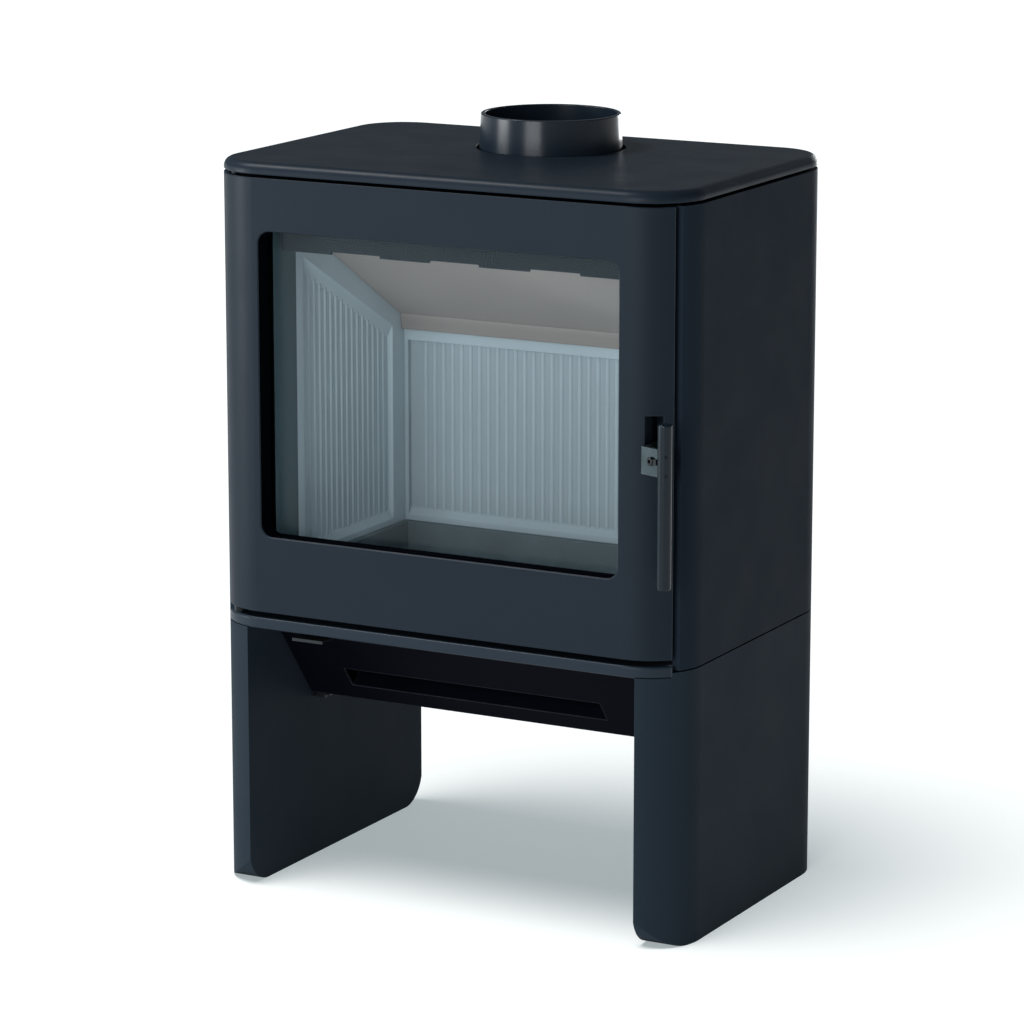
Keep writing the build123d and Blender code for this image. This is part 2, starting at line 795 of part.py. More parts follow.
with BuildPart() as glass_tape:
    with BuildSketch(face_plane(door_thickness)):
        upright_panel(
            glass_half - tape_setback, glass_bottom + tape_setback, glass_top - tape_setback,
            glass_corner,
        )
        with Locations((0, (window_bottom + window_top) / 2)):
            RectangleRounded(
                2 * (window_half + tape_reveal), window_top - window_bottom + 2 * tape_reveal,
                window_radius + tape_reveal, mode=Mode.SUBTRACT,
            )
    extrude(amount=door_thickness - glass_front)
glass_tape.part.label = "glass_tape"
export_step(glass_tape.part, "parts/glass_tape.step")

with BuildPart() as door_seal:
    with BuildSketch(face_plane(seal_back - seal_radius)):
        upright_panel(
            seal_half + seal_radius, seal_bottom - seal_radius, seal_top + seal_radius,
            seal_radius_of_turn + seal_radius,
        )
        with Locations((0, (seal_bottom + seal_top) / 2)):
            RectangleRounded(
                2 * (seal_half - seal_radius), seal_top - seal_bottom - 2 * seal_radius,
                seal_radius_of_turn - seal_radius, mode=Mode.SUBTRACT,
            )
    extrude(amount=-2 * seal_radius)
    fillet(door_seal.edges().group_by(Axis.Y)[0] + door_seal.edges().group_by(Axis.Y)[-1], seal_rounding)
door_seal.part.label = "door_seal"
export_step(door_seal.part, "parts/door_seal.step")

clip_width = 22.0
clip_sheet = 2.0
clip_height = 12.0
clip_step_back = 2.5
clip_step_front = 0.5
clip_grip = 5.0
clip_screw_head_radius = 3.4
clip_screw_head_height = 2.2
clip_screw_head_rounding = 1.0
glass_rear = glass_front + glass_thickness

with BuildPart() as glass_clips:
    for clip_x in (-150, 0, 150):
        for edge, inwards in ((glass_bottom, 1), (glass_top, -1)):
            with BuildSketch(side_plane(clip_x - clip_width / 2)):
                side_outline([
                    (door_thickness, edge - inwards * clip_height),
                    (door_thickness + clip_sheet, edge - inwards * clip_height),
                    (door_thickness + clip_sheet, edge - inwards * clip_step_back),
                    (glass_rear + clip_sheet, edge - inwards * clip_step_back),
                    (glass_rear + clip_sheet, edge + inwards * clip_grip),
                    (glass_rear, edge + inwards * clip_grip),
                    (glass_rear, edge - inwards * clip_step_front),
                    (door_thickness, edge - inwards * clip_step_front),
                ])
            extrude(amount=clip_width)
    with BuildSketch(face_plane(door_thickness)):
        with Locations(*clip_screw_places):
            Circle(clip_screw_radius)
    extrude(amount=-clip_sheet, mode=Mode.SUBTRACT)
glass_clips.part.label = "glass_clips"
export_step(glass_clips.part, "parts/glass_clips.step")

with BuildPart() as clip_screws:
    with BuildSketch(face_plane(door_thickness + clip_sheet)):
        with Locations(*clip_screw_places):
            Circle(clip_screw_head_radius)
    extrude(amount=-clip_screw_head_height)
    fillet(clip_screws.edges().group_by(Axis.Y)[-1], clip_screw_head_rounding)
    with BuildSketch(face_plane(door_thickness + clip_sheet)):
        with Locations(*clip_screw_places):
            Circle(clip_screw_radius)
    extrude(amount=clip_sheet + tapped_depth)
clip_screws.part.label = "clip_screws"
export_step(clip_screws.part, "parts/clip_screws.step")

# ---- Hinge ----
with BuildPart() as hinge_pin_bottom:
    with BuildSketch(Plane.XY.offset(pin_bottom)):
        with Locations((hinge_x, back_from_face(hinge_back))):
            Circle(hinge_pin_radius)
    extrude(amount=door_bottom + pin_in_door - pin_bottom)
hinge_pin_bottom.part.label = "hinge_pin_bottom"
export_step(hinge_pin_bottom.part, "parts/hinge_pin_bottom.step")

with BuildPart() as hinge_pin_top:
    with BuildSketch(Plane.XY.offset(door_top - pin_in_door)):
        with Locations((hinge_x, back_from_face(hinge_back))):
            Circle(hinge_pin_radius)
    extrude(amount=top_bottom + pin_seat_depth - door_top + pin_in_door)
hinge_pin_top.part.label = "hinge_pin_top"
export_step(hinge_pin_top.part, "parts/hinge_pin_top.step")

washer_radius = 7.0
washer_play = 0.3

with BuildPart() as hinge_washer:
    with BuildSketch(Plane.XY.offset(lip_top)):
        with Locations((hinge_x, back_from_face(hinge_back))):
            Circle(washer_radius)
            Circle(hinge_pin_radius, mode=Mode.SUBTRACT)
    extrude(amount=door_bottom - lip_top - washer_play)
hinge_washer.part.label = "hinge_washer"
export_step(hinge_washer.part, "parts/hinge_washer.step")

# ======== Latch ========

bracket_sheet = 2.5
cheek_gap_left = 232.0
cheek_gap_right = 239.4
bracket_back = 33.0
bracket_bottom = 461.0
bracket_top = slot_bottom - 1.5
bracket_slope_z = 470.0
bracket_heel_z = 482.0
cheek_top = pivot_z + 8
bracket_screw_head_radius = 3.2
bracket_screw_head_height = 2.0

with BuildPart() as latch_bracket:
    block(
        cheek_gap_left - bracket_sheet, cheek_gap_right + bracket_sheet, door_thickness,
        door_thickness + bracket_sheet, bracket_bottom, bracket_top,
    )
    for cheek_x in (cheek_gap_left - bracket_sheet, cheek_gap_right):
        with BuildSketch(side_plane(cheek_x)):
            side_outline([
                (door_thickness, bracket_bottom), (bracket_back - 6, bracket_slope_z),
                (bracket_back, bracket_heel_z), (bracket_back, cheek_top - 2),
                (bracket_back - 3, cheek_top), (door_thickness + 2, cheek_top),
                (door_thickness + 2, bracket_top), (door_thickness, bracket_top),
            ])
        extrude(amount=bracket_sheet)
    with BuildSketch(side_plane(cheek_gap_left - bracket_sheet)):
        with Locations((back_from_face(pivot_back), pivot_z)):
            Circle(pivot_radius)
    extrude(amount=20, mode=Mode.SUBTRACT)
    with BuildSketch(face_plane(door_thickness)):
        with Locations(*bracket_screw_places):
            Circle(clip_screw_radius)
    extrude(amount=-bracket_sheet, mode=Mode.SUBTRACT)
latch_bracket.part.label = "latch_bracket"
export_step(latch_bracket.part, "parts/latch_bracket.step")

with BuildPart() as bracket_screws:
    with BuildSketch(face_plane(door_thickness + bracket_sheet)):
        with Locations(*bracket_screw_places):
            Circle(bracket_screw_head_radius)
    extrude(amount=-bracket_screw_head_height)
    with BuildSketch(face_plane(door_thickness + bracket_sheet)):
        with Locations(*bracket_screw_places):
            Circle(clip_screw_radius)
    extrude(amount=bracket_sheet + tapped_depth)
bracket_screws.part.label = "bracket_screws"
export_step(bracket_screws.part, "parts/bracket_screws.step")

with BuildPart() as latch_pivot:
    with BuildSketch(side_plane(cheek_gap_left - bracket_sheet)):
        with Locations((back_from_face(pivot_back), pivot_z)):
            Circle(pivot_radius)
    extrude(amount=cheek_gap_right - cheek_gap_left + 2 * bracket_sheet)
latch_pivot.part.label = "latch_pivot"
export_step(latch_pivot.part, "parts/latch_pivot.step")

# The arm is one bent strip: it runs out through the slot, then turns towards the rod.
arm_reach = -30.0
arm_neck_back = 33.0
arm_notch_back = 33.5
arm_hook_back = 50.0
arm_hook_bottom = 487.0
arm_hook_top = 500.0
notch_top = 495.5
heel_top = 504.0
arm_end_gap = 2.0
turn_length = (rod_x - arm_x) / cos(radians(arm_turn)) - arm_end_gap
turn_end_x = arm_x + turn_length * cos(radians(arm_turn))
turn_back = -2.5
turn_end_back = turn_back - turn_length * sin(radians(arm_turn))
arm_bolt_along = 12.5
bolt_z = 503.6
bolt_head_radius = 4.4
bolt_head_height = 3.2
bolt_head_rounding = 0.8
bolt_socket_radius = 2.2
bolt_socket_depth = 2.0
clamp_length = 8.6
clamp_width = 5.4

with BuildPart() as latch_arm:
    with BuildSketch(Plane.XY.offset(slot_bottom - 10)):
        with BuildLine():
            Polyline(
                (arm_x, back_from_face(arm_hook_back + 5)), (arm_x, back_from_face(turn_back)),
                (turn_end_x, back_from_face(turn_end_back)),
            )
        trace(line_width=arm_thickness)
    extrude(amount=60)
    with BuildSketch(side_plane(arm_x - 20)):
        side_outline([
            (arm_reach, slot_bottom), (0, slot_bottom), (2, arm_bottom), (arm_neck_back, arm_bottom),
            (arm_neck_back + 3, arm_hook_bottom), (arm_hook_back, arm_hook_bottom),
            (arm_hook_back, arm_hook_top), (arm_hook_back - 5, arm_hook_top),
            (arm_hook_back - 5.6, notch_top), (arm_notch_back, notch_top),
            (arm_notch_back, heel_top), (door_thickness + 1.3, arm_top), (arm_reach, arm_top),
        ])
    extrude(amount=60, mode=Mode.INTERSECT)
    with BuildSketch(side_plane(arm_x - 10)):
        with Locations((back_from_face(pivot_back), pivot_z)):
            Circle(pivot_radius + running_clearance)
    extrude(amount=20, mode=Mode.SUBTRACT)
latch_arm.part.label = "latch_arm"
export_step(latch_arm.part, "parts/latch_arm.step")

turn_direction = (cos(radians(arm_turn)), -sin(radians(arm_turn)), 0)
turn_normal = (-sin(radians(arm_turn)), -cos(radians(arm_turn)), 0)
bolt_x = arm_x + arm_bolt_along * turn_direction[0] + turn_normal[0] * arm_thickness / 2
bolt_y = (
    back_from_face(turn_back) + arm_bolt_along * turn_direction[1]
    + turn_normal[1] * arm_thickness / 2
)

bolt_plane = Plane(origin=(bolt_x, bolt_y, bolt_z), x_dir=turn_direction, z_dir=turn_normal)

with BuildPart() as arm_bolt:
    with BuildSketch(bolt_plane):
        Circle(bolt_head_radius)
    extrude(amount=bolt_head_height)
    fillet(arm_bolt.faces().sort_by(Axis.Y)[0].edges(), bolt_head_rounding)
    with BuildSketch(bolt_plane):
        with Locations((clamp_length / 2, 0)):
            Rectangle(clamp_length, clamp_width)
    extrude(amount=bolt_head_height - bolt_head_rounding)
    with BuildSketch(bolt_plane.offset(bolt_head_height)):
        RegularPolygon(bolt_socket_radius, 6)
    extrude(amount=-bolt_socket_depth, mode=Mode.SUBTRACT)
arm_bolt.part.label = "arm_bolt"
export_step(arm_bolt.part, "parts/arm_bolt.step")

handle_screw_heights = (492.0, 511.0)
handle_screw_direction = (0.59, -0.81, 0)
handle_screw_radius = 1.7
handle_screw_start = 3.0
handle_screw_proud = 0.2
rod_end_radius = 1.6

with BuildPart() as handle_screws:
    for screw_z in handle_screw_heights:
        with BuildSketch(
            Plane(
                origin=(rod_x, back_from_face(-rod_proud), screw_z), z_dir=handle_screw_direction
            ).offset(handle_screw_start)
        ):
            Circle(handle_screw_radius)
        extrude(amount=rod_radius - handle_screw_start + handle_screw_proud)
handle_screws.part.label = "handle_screws"
export_step(handle_screws.part, "parts/handle_screws.step")

with BuildPart() as handle_rod:
    with BuildSketch(Plane.XY.offset(rod_bottom)):
        with Locations((rod_x, back_from_face(-rod_proud))):
            Circle(rod_radius)
    extrude(amount=rod_top - rod_bottom)
    rod_rims = handle_rod.edges().group_by(Axis.Z)
    fillet(rod_rims[-1] + rod_rims[0], rod_end_radius)
    add(latch_arm.part, mode=Mode.SUBTRACT)
    add(handle_screws.part, mode=Mode.SUBTRACT)
handle_rod.part.label = "handle_rod"
export_step(handle_rod.part, "parts/handle_rod.step")

# ======== Ash drawer ========

lean_length = sqrt(1 + drawer_lean ** 2)
drawer_plane = Plane(
    origin=(0, back_from_face(drawer_low_back), drawer_low_z), x_dir=(1, 0, 0),
    z_dir=(0, -1 / lean_length, -drawer_lean / lean_length),
)
drawer_rise = (drawer_high_z - drawer_low_z) * lean_length
pull_left = -163.4
pull_right = 138.0
pull_low = 22.5
pull_high = 50.0
flap_depth = 20.0
pan_front = 131.0
pan_back = 331.0
pan_bottom = 184.0
skid_bottom = 178.3
skid_outer = 220.0
gusset_top = 258.0
gusset_gap = 3.0
skid_play = 0.3

with BuildPart() as ash_drawer_front:
    with BuildSketch(drawer_plane):
        with Locations((0, drawer_rise / 2)):
            Rectangle(2 * drawer_half, drawer_rise)
        with Locations(((pull_left + pull_right) / 2, (pull_low + pull_high) / 2)):
            Rectangle(pull_right - pull_left, pull_high - pull_low, mode=Mode.SUBTRACT)
    extrude(amount=-sheet)
    with BuildSketch(drawer_plane):
        with Locations(((pull_left + pull_right) / 2, pull_low - sheet / 2)):
            Rectangle(pull_right - pull_left, sheet)
    extrude(amount=-flap_depth)
    for side in (-1, 1):
        gusset_x = pan_half - sheet if side == 1 else -pan_half
        with BuildSketch(side_plane(gusset_x)):
            side_outline([
                (pan_front, pan_bottom + gusset_gap),
                (drawer_low_back - gusset_gap, pan_bottom + gusset_gap),
                (drawer_low_back - drawer_lean * (gusset_top - drawer_low_z) + 1.2, gusset_top),
                (pan_front, gusset_top),
            ])
        extrude(amount=sheet)
ash_drawer_front.part.label = "ash_drawer_front"
export_step(ash_drawer_front.part, "parts/ash_drawer_front.step")

with BuildPart() as ash_pan:
    block(-pan_half, pan_half, pan_front, pan_back, pan_bottom, drawer_high_z)
    block(
        sheet - pan_half, pan_half - sheet, pan_front + sheet, pan_back - sheet,
        pan_bottom + sheet, drawer_high_z + 1, Mode.SUBTRACT,
    )
    for side in (-1, 1):
        web = sorted((side * (pan_half - sheet), side * pan_half))
        block(*web, pan_front, pan_back, skid_bottom, pan_bottom)
        skid = sorted((side * (pan_half - sheet), side * skid_outer))
        block(*skid, pan_front, pan_back, skid_bottom, skid_bottom + sheet)
ash_pan.part.label = "ash_pan"
export_step(ash_pan.part, "parts/ash_pan.step")

runner_sheet = 2.5
leg_inner = width / 2 - leg_thickness
runner_top = 195.0
runner_inner = 209.0
runner_bottom = skid_bottom - skid_play - runner_sheet
runner_back = pan_back + 6
runner_bolt_radius = 3.6
runner_bolt_height = 2.4

for name, side in (("left", -1), ("right", 1)):
    with BuildPart() as drawer_runner:
        shelf = sorted((side * runner_inner, side * leg_inner))
        block(*shelf, pan_front, runner_back, runner_bottom, runner_bottom + runner_sheet)
        upright = sorted((side * (leg_inner - runner_sheet), side * leg_inner))
        block(*upright, pan_front, runner_back, runner_bottom, runner_top)
    drawer_runner.part.label = f"drawer_runner_{name}"
    export_step(drawer_runner.part, f"parts/drawer_runner_{name}.step")

with BuildPart() as runner_bolts:
    for side in (-1, 1):
        with BuildSketch(side_plane(side * (leg_inner - runner_sheet))):
            for bolt_back in (pan_front + 12, pan_back - 8):
                with Locations((back_from_face(bolt_back), runner_top - 6)):
                    Circle(runner_bolt_radius)
        extrude(amount=-side * runner_bolt_height)
runner_bolts.part.label = "runner_bolts"
export_step(runner_bolts.part, "parts/runner_bolts.step")

chute_top = seam
chute_bottom = drawer_high_z + 4

with BuildPart() as ash_chute:
    block(
        -ash_hole_half - sheet, ash_hole_half + sheet, ash_hole[0] - sheet, ash_hole[1] + sheet,
        chute_bottom, chute_top,
    )
    block(
        -ash_hole_half, ash_hole_half, ash_hole[0], ash_hole[1], chute_bottom - 1, chute_top + 1,
        Mode.SUBTRACT,
    )
ash_chute.part.label = "ash_chute"
export_step(ash_chute.part, "parts/ash_chute.step")

# ======== Air control ========

lever_middle = -154.5
lever_width = 36.0
shutter_top = seam - 0.4
shutter_sheet = 3.0
shutter = (-215.0, -72.0, 41.0, 87.0)
lever_drop = 11.0
lever_front = 5.0
lever_stem = (52.0, 55.0)

with BuildPart() as air_lever:
    block(*shutter, shutter_top - shutter_sheet, shutter_top)
    block(*air_hole, shutter_top - shutter_sheet, shutter_top, Mode.SUBTRACT)
    lever = (lever_middle - lever_width / 2, lever_middle + lever_width / 2)
    block(*lever, *lever_stem, shutter_top - lever_drop, shutter_top)
    block(
        *lever, lever_front, lever_stem[1], shutter_top - lever_drop - shutter_sheet,
        shutter_top - lever_drop,
    )
air_lever.part.label = "air_lever"
export_step(air_lever.part, "parts/air_lever.step")

guide_left = -223.0
guide_right = -6.0
guide_play = 0.4
guide_shelf = shutter_top - shutter_sheet - guide_play
guide_sheet = 3.0
wall_front, wall_back = shutter[2] - 0.5, shutter[3] + 0.5
guide_reach = 6.0
guide_wall = 3.5

with BuildPart() as air_slide_guides:
    block(guide_left, guide_right, wall_front - guide_wall, wall_front, guide_shelf - guide_sheet, seam)
    block(guide_left, guide_right, wall_back, wall_back + guide_wall, guide_shelf - guide_sheet, seam)
    for shelf_low, shelf_high in (
        (wall_front - guide_wall, shutter[2] + guide_reach),
        (shutter[3] - guide_reach, wall_back + guide_wall),
    ):
        block(
            guide_left, guide_right, shelf_low, shelf_high, guide_shelf - guide_sheet, guide_shelf,
        )
air_slide_guides.part.label = "air_slide_guides"
export_step(air_slide_guides.part, "parts/air_slide_guides.step")
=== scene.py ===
"""The looks of the wood burning stove: a material for every node, a twisted door rope and a studio."""
import math

import bmesh
import bpy
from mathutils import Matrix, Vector


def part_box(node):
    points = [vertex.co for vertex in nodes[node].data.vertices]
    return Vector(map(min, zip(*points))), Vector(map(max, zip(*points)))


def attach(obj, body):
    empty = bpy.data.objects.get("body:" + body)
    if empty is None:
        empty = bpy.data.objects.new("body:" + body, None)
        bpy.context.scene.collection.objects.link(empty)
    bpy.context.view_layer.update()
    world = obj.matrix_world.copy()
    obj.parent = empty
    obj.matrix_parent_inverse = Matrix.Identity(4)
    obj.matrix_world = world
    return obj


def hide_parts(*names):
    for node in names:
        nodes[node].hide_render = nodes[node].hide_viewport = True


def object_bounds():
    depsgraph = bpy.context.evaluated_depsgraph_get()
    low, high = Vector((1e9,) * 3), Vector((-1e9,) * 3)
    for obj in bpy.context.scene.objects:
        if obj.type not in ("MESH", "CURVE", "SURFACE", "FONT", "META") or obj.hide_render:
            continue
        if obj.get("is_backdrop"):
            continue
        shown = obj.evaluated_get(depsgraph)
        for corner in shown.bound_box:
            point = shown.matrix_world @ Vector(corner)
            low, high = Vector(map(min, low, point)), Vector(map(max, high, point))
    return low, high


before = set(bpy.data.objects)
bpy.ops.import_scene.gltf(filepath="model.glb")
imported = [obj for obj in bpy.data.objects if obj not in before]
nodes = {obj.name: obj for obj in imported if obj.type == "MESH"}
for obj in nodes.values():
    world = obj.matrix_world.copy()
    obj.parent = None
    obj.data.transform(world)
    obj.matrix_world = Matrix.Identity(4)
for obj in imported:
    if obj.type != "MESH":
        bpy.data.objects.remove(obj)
cad_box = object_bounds()
scene = bpy.context.scene


# ---- Material tools ----

# Blender's Mix node has a set of sockets for each data type. These are the ones for colours.
MIX_FACTOR = 0
MIX_FIRST = 6
MIX_SECOND = 7
MIX_RESULT = 2


class Shader:
    """A material and short calls that add nodes to it. Textures use object coordinates, in metres."""

    def __init__(self, name):
        self.material = bpy.data.materials.new(name)
        self.material.use_nodes = True
        self.tree = self.material.node_tree
        self.tree.nodes.clear()
        self.output = self.add("ShaderNodeOutputMaterial")
        self.place = self.add("ShaderNodeTexCoord").outputs["Object"]

    def add(self, kind, **settings):
        """A new node, with its own settings."""
        made = self.tree.nodes.new(kind)
        for key, value in settings.items():
            setattr(made, key, value)
        return made

    def feed(self, socket, value):
        """Links an output into a socket, or sets the socket to a constant."""
        if isinstance(value, bpy.types.NodeSocket):
            self.tree.links.new(value, socket)
        else:
            socket.default_value = value

    def scaled(self, stretch):
        """Object coordinates stretched by a factor along each axis."""
        made = self.add("ShaderNodeMapping")
        self.feed(made.inputs["Vector"], self.place)
        made.inputs["Scale"].default_value = stretch
        return made.outputs["Vector"]

    def noise(self, size, detail=3.0, rough=0.5, stretch=None):
        """Noise from 0 to 1 whose features are about this many metres across."""
        made = self.add("ShaderNodeTexNoise")
        self.feed(made.inputs["Vector"], self.scaled(stretch) if stretch else self.place)
        made.inputs["Scale"].default_value = 1.0 / size
        made.inputs["Detail"].default_value = detail
        made.inputs["Roughness"].default_value = rough
        return made.outputs["Fac"]

    def cells(self, size, feature="F1", stretch=None):
        """Distance to the nearest of scattered points about this far apart."""
        made = self.add("ShaderNodeTexVoronoi", feature=feature)
        self.feed(made.inputs["Vector"], self.scaled(stretch) if stretch else self.place)
        made.inputs["Scale"].default_value = 1.0 / size
        return made.outputs["Distance"]

    def span(self, value, low, high, to_low=0.0, to_high=1.0):
        """Stretches a value from one range to another, and stops at the ends."""
        made = self.add("ShaderNodeMapRange")
        self.feed(made.inputs["Value"], value)
        made.inputs["From Min"].default_value = low
        made.inputs["From Max"].default_value = high
        made.inputs["To Min"].default_value = to_low
        made.inputs["To Max"].default_value = to_high
        return made.outputs["Result"]

    def maths(self, operation, first, second=0.0):
        """One arithmetic step."""
        made = self.add("ShaderNodeMath", operation=operation)
        self.feed(made.inputs[0], first)
        self.feed(made.inputs[1], second)
        return made.outputs[0]

    def tone(self, socket, colour):
        """Links an output into a colour socket, or sets the socket to three constant channels."""
        self.feed(socket, (*colour, 1.0) if isinstance(colour, tuple) else colour)

    def blend(self, factor, first, second):
        """A mix of two colours."""
        made = self.add("ShaderNodeMix", data_type="RGBA")
        self.feed(made.inputs[MIX_FACTOR], factor)
        self.tone(made.inputs[MIX_FIRST], first)
        self.tone(made.inputs[MIX_SECOND], second)
        return made.outputs[MIX_RESULT]

    def bump(self, height, depth, under=None, strength=1.0):
        """A bumped normal, depth metres deep, on top of another one."""
        made = self.add("ShaderNodeBump")
        self.feed(made.inputs["Height"], height)
        made.inputs["Distance"].default_value = depth
        made.inputs["Strength"].default_value = strength
        if under is not None:
            self.feed(made.inputs["Normal"], under)
        return made.outputs["Normal"]

    def rounded(self, radius):
        """The surface's own normal, softened over its sharp edges."""
        made = self.add("ShaderNodeBevel", samples=6)
        made.inputs["Radius"].default_value = radius
        return made.outputs["Normal"]

    def edges(self, radius):
        """1 on sharp edges and 0 on flat stretches, from how far a rounded normal leans."""
        lean = self.add("ShaderNodeVectorMath", operation="DOT_PRODUCT")
        self.feed(lean.inputs[0], self.rounded(radius))
        self.feed(lean.inputs[1], self.add("ShaderNodeNewGeometry").outputs["Normal"])
        return self.span(lean.outputs["Value"], 0.99, 0.8)

    def crease_shade(self, reach):
        """1 deep in gaps and corners, and 0 in the open: where painted shade goes."""
        made = self.add("ShaderNodeAmbientOcclusion", samples=6)
        made.inputs["Distance"].default_value = reach
        return self.span(made.outputs["AO"], 0.5, 0.15)

    def principled(self, colour, roughness, normal=None, **constants):
        """The surface. Colour, roughness and normal may be textures, and the rest are constants."""
        made = self.add("ShaderNodeBsdfPrincipled")
        self.tone(made.inputs["Base Color"], colour)
        self.feed(made.inputs["Roughness"], roughness)
        if normal is not None:
            self.feed(made.inputs["Normal"], normal)
        for name, value in constants.items():
            made.inputs[name.replace("_", " ")].default_value = value
        self.tree.links.new(made.outputs["BSDF"], self.output.inputs["Surface"])
        return self.material


def shade(colour, factor):
    """A colour made lighter or darker."""
    return tuple(channel * factor for channel in colour)


# ---- Materials ----

# Depths, reaches, flakes and softnesses are in metres. Gloss is the shader's specular level.
PAINT_GLOSS = 0.07
EDGE_SOFTNESS = 0.0005
CREASE_REACH = 0.014
SWELL_DEPTH = 0.0004
DIMPLE_DEPTH = 0.00035
SAND_DEPTH = 0.0002
LINE_DEPTH = 0.00008
LINE_FINENESS = 60.0
ALONG_X = (1, 0, 0)
ALONG_Z = (0, 0, 1)
SHELTER_REACH = 0.009
POWDER_DEPTH = 0.0003
PIN_HOLE_DEPTH = 0.0004
BOARD_EDGE_SOFTNESS = 0.0012
BOARD_FLECK = (0.64, 0.69, 0.72)
BOARD_FLAKE = 0.0028
RUST_BROWN = (0.11, 0.07, 0.045)
SKIN_DEPTH = 0.0004
WEAVE_SCALE = 0.3
THREAD_DEPTH = 0.0006
FUZZ_DEPTH = 0.0003
GLASS_TINT = (0.93, 0.955, 0.965)
GLASS_MIRROR = (0.95, 0.98, 1.0)
GLASS_INDEX = 1.18


def stove_paint(
    name, colour, roughness, grain=0.3, casting=0.1, wear_and_highlight=0.35, gloss=PAINT_GLOSS,
    edge_wear_and_highlight=None, edge=0.0009,
):
    """Matt heat-proof paint: sandy grain over the slow swell of the metal, with painted shade in its
    creases.

    Grain and casting are the strengths of the fine and the slow bumps. The next strength says how
    strongly the edges, over a width of edge metres, are made lighter towards the edge colour given:
    partly wear and partly a painted highlight.
    """
    s = Shader(name)
    clouds = s.noise(0.16, detail=4.0, rough=0.55)
    mottle = s.noise(0.018, detail=5.0, rough=0.6)
    sand = s.noise(0.0011, detail=2.0, rough=0.6)
    swell = s.noise(0.03, detail=2.0, rough=0.4)
    dimples = s.cells(0.0045, "SMOOTH_F1")
    base = s.blend(s.span(clouds, 0.3, 0.7), shade(colour, 0.98), shade(colour, 1.02))
    base = s.blend(s.span(mottle, 0.35, 0.75, 0.0, 0.25), base, shade(colour, 1.1))
    base = s.blend(s.span(sand, 0.55, 0.8, 0.0, 0.3), base, shade(colour, 1.3))
    # Edges made lighter: partly wear, partly a painted highlight.
    worn_and_highlit = s.maths("MULTIPLY", s.edges(edge), s.span(mottle, 0.35, 0.6, 0.6, 1.0))
    worn_and_highlit = s.maths("MULTIPLY", worn_and_highlit, wear_and_highlight)
    base = s.blend(worn_and_highlit, base, edge_wear_and_highlight or shade(colour, 3.2))
    # Painted shade: nearly black deep in gaps and creases.
    base = s.blend(s.crease_shade(CREASE_REACH), base, shade(colour, 0.08))
    dull = s.span(s.noise(0.05, detail=3.0), 0.3, 0.7, roughness - 0.03, roughness + 0.04)
    dull = s.maths("SUBTRACT", dull, s.maths("MULTIPLY", worn_and_highlit, 0.12))
    normal = s.bump(swell, SWELL_DEPTH, s.rounded(EDGE_SOFTNESS), casting)
    normal = s.bump(dimples, DIMPLE_DEPTH, normal, casting * 0.5)
    normal = s.bump(sand, SAND_DEPTH, normal, grain)
    return s.principled(base, dull, normal, Specular_IOR_Level=gloss)


def steel(name, colour, roughness, along=None, tint=None):
    """Bare or plated steel, with a painted highlight on its edges. Fine lines may be drawn along an axis,
    and it may have some heat colour.
    """
    s = Shader(name)
    stretch = tuple(1.0 if step else LINE_FINENESS for step in along) if along else None
    lines = s.noise(0.012, detail=4.0, rough=0.7, stretch=stretch)
    smudge = s.noise(0.014, detail=4.0, rough=0.6)
    base = s.blend(s.span(lines, 0.3, 0.7), shade(colour, 0.8), shade(colour, 1.2))
    base = s.blend(s.span(smudge, 0.5, 0.8, 0.0, 0.4), base, shade(colour, 0.6))
    if tint:
        base = s.blend(s.span(s.noise(0.05, detail=2.0), 0.35, 0.7, 0.0, 0.7), base, tint)
    # Painted highlight: the edges are made lighter.
    edge_highlight = s.maths("MULTIPLY", s.edges(0.0006), 0.5)
    base = s.blend(edge_highlight, base, shade(colour, 1.9))
    dull = s.span(smudge, 0.3, 0.75, roughness - 0.07, roughness + 0.1)
    normal = s.bump(lines, LINE_DEPTH, strength=0.5)
    return s.principled(base, dull, normal, Metallic=0.9)


def fire_board(name, colour, axis, top, ground, ground_painted_light=0.8, fleck=BOARD_FLECK, flake=BOARD_FLAKE):
    """Pressed board: chalky, with flakes and pin holes, and painted shade in the pin holes and in
    sheltered hollows.

    Along an axis the colour goes from plain at top to another shade at ground, by a factor: painted
    shade where the factor is below 1, painted light where it is above.
    """
    s = Shader(name)
    clouds = s.noise(0.07, detail=4.0, rough=0.6)
    powder = s.noise(0.0016, detail=3.0, rough=0.6)
    flakes = s.cells(flake)
    holes = s.cells(flake * 2.4, stretch=(1.0, 1.3, 0.8))
    base = s.blend(s.span(clouds, 0.3, 0.7), shade(colour, 0.96), shade(colour, 1.03))
    base = s.blend(s.span(powder, 0.3, 0.75, 0.0, 0.2), base, shade(colour, 0.85))
    base = s.blend(s.span(flakes, 0.22, 0.05, 0.0, 0.3), base, fleck)
    hollow = s.span(holes, 0.12, 0.04)
    # Painted shade in the pin holes, which are darker.
    base = s.blend(s.maths("MULTIPLY", hollow, 0.3), base, shade(colour, 0.6))
    # Painted shade in sheltered hollows, darker where occlusion is high.
    occlusion_shade = s.add("ShaderNodeAmbientOcclusion", samples=8)
    occlusion_shade.inputs["Distance"].default_value = SHELTER_REACH
    base = s.blend(s.span(occlusion_shade.outputs["AO"], 0.9, 0.5, 0.0, 0.6), base, shade(colour, 0.8))
    # Painted light or shade along the axis, towards the ground, as the factor sets.
    level = s.add("ShaderNodeSeparateXYZ")
    s.feed(level.inputs[0], s.place)
    on_ground = s.span(level.outputs[axis], top, ground)
    base = s.blend(on_ground, base, shade(colour, ground_painted_light))
    normal = s.bump(powder, POWDER_DEPTH, s.rounded(BOARD_EDGE_SOFTNESS), 0.35)
    normal = s.bump(s.maths("SUBTRACT", 1.0, hollow), PIN_HOLE_DEPTH, normal, 0.4)
    return s.principled(base, s.span(powder, 0.3, 0.7, 0.78, 0.92), normal, Specular_IOR_Level=0.25)


